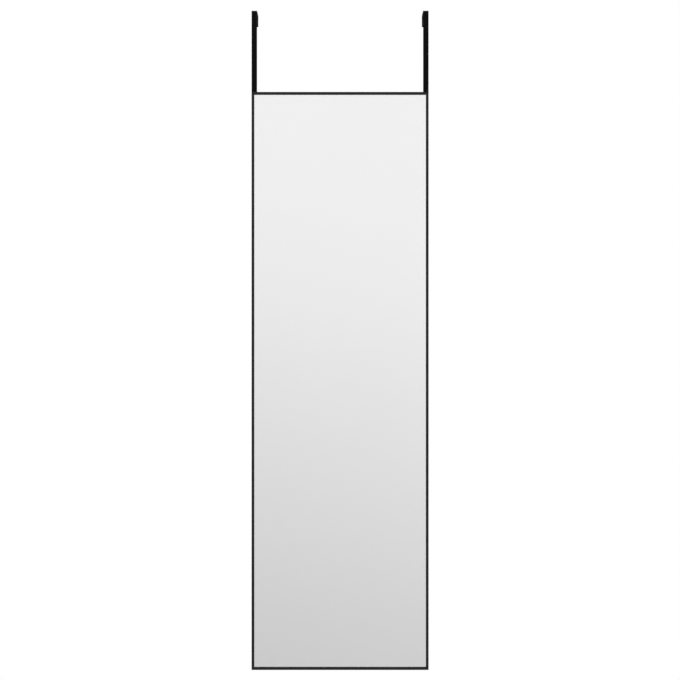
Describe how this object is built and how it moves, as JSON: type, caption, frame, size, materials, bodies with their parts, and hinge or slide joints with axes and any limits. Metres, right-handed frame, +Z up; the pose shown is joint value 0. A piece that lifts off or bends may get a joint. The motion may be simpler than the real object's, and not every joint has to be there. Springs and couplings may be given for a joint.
{
  "type": "over the door mirror",
  "caption": "Tall rectangular glass mirror in a slim dark aluminium frame, hung over the top of a door by two slotted black steel straps.",
  "frame": {"origin": "on the top edge of the door, in the plane of the door's front face, midway between the two straps", "axes": "+Z up, +Y from the mirror towards the door, +X to the right as the glass is faced"},
  "size_m": [0.3104, 0.0643, 1.154],
  "materials": {
    "frame": "satin dark grey coat on an extruded rail",
    "glass": "polished clear float glass",
    "silver": "silvered, painted grey on the back",
    "tape": "white foam mounting tape",
    "board": "pressed brown hardboard",
    "zinc_steel": "zinc plated",
    "screw": "black oxide",
    "strap": "matt black powder coat on flat steel",
    "foam": "closed cell black foam",
    "bumper": "moulded black rubber"
  },
  "bodies": {
    "mirror": {"top_rail": "frame", "bottom_rail": "frame", "left_rail": "frame", "right_rail": "frame", "mirror_glass": "glass", "silver_coating": "silver", "foam_tape_strips": "tape", "backing_board": "board", "top_left_corner_key": "zinc_steel", "top_right_corner_key": "zinc_steel", "bottom_left_corner_key": "zinc_steel", "bottom_right_corner_key": "zinc_steel", "corner_key_screws": "screw", "left_nut_bar": "zinc_steel", "right_nut_bar": "zinc_steel", "left_strap_screws": "screw", "right_strap_screws": "screw", "left_washers": "zinc_steel", "right_washers": "zinc_steel", "left_bumper": "bumper", "right_bumper": "bumper"},
    "left_hanger": {"left_strap": "strap", "left_front_buffer": "foam", "left_top_buffer": "foam", "left_back_buffer": "foam"},
    "right_hanger": {"right_strap": "strap", "right_front_buffer": "foam", "right_top_buffer": "foam", "right_back_buffer": "foam"}
  },
  "joints": [
    {"name": "left_strap_slide", "type": "slide", "parent": "mirror", "child": "left_hanger", "axis": [0, 0, 1], "range_m": [-0.04, 0]},
    {"name": "right_strap_slide", "type": "slide", "parent": "mirror", "child": "right_hanger", "axis": [0, 0, 1], "range_m": [-0.04, 0]}
  ]
}
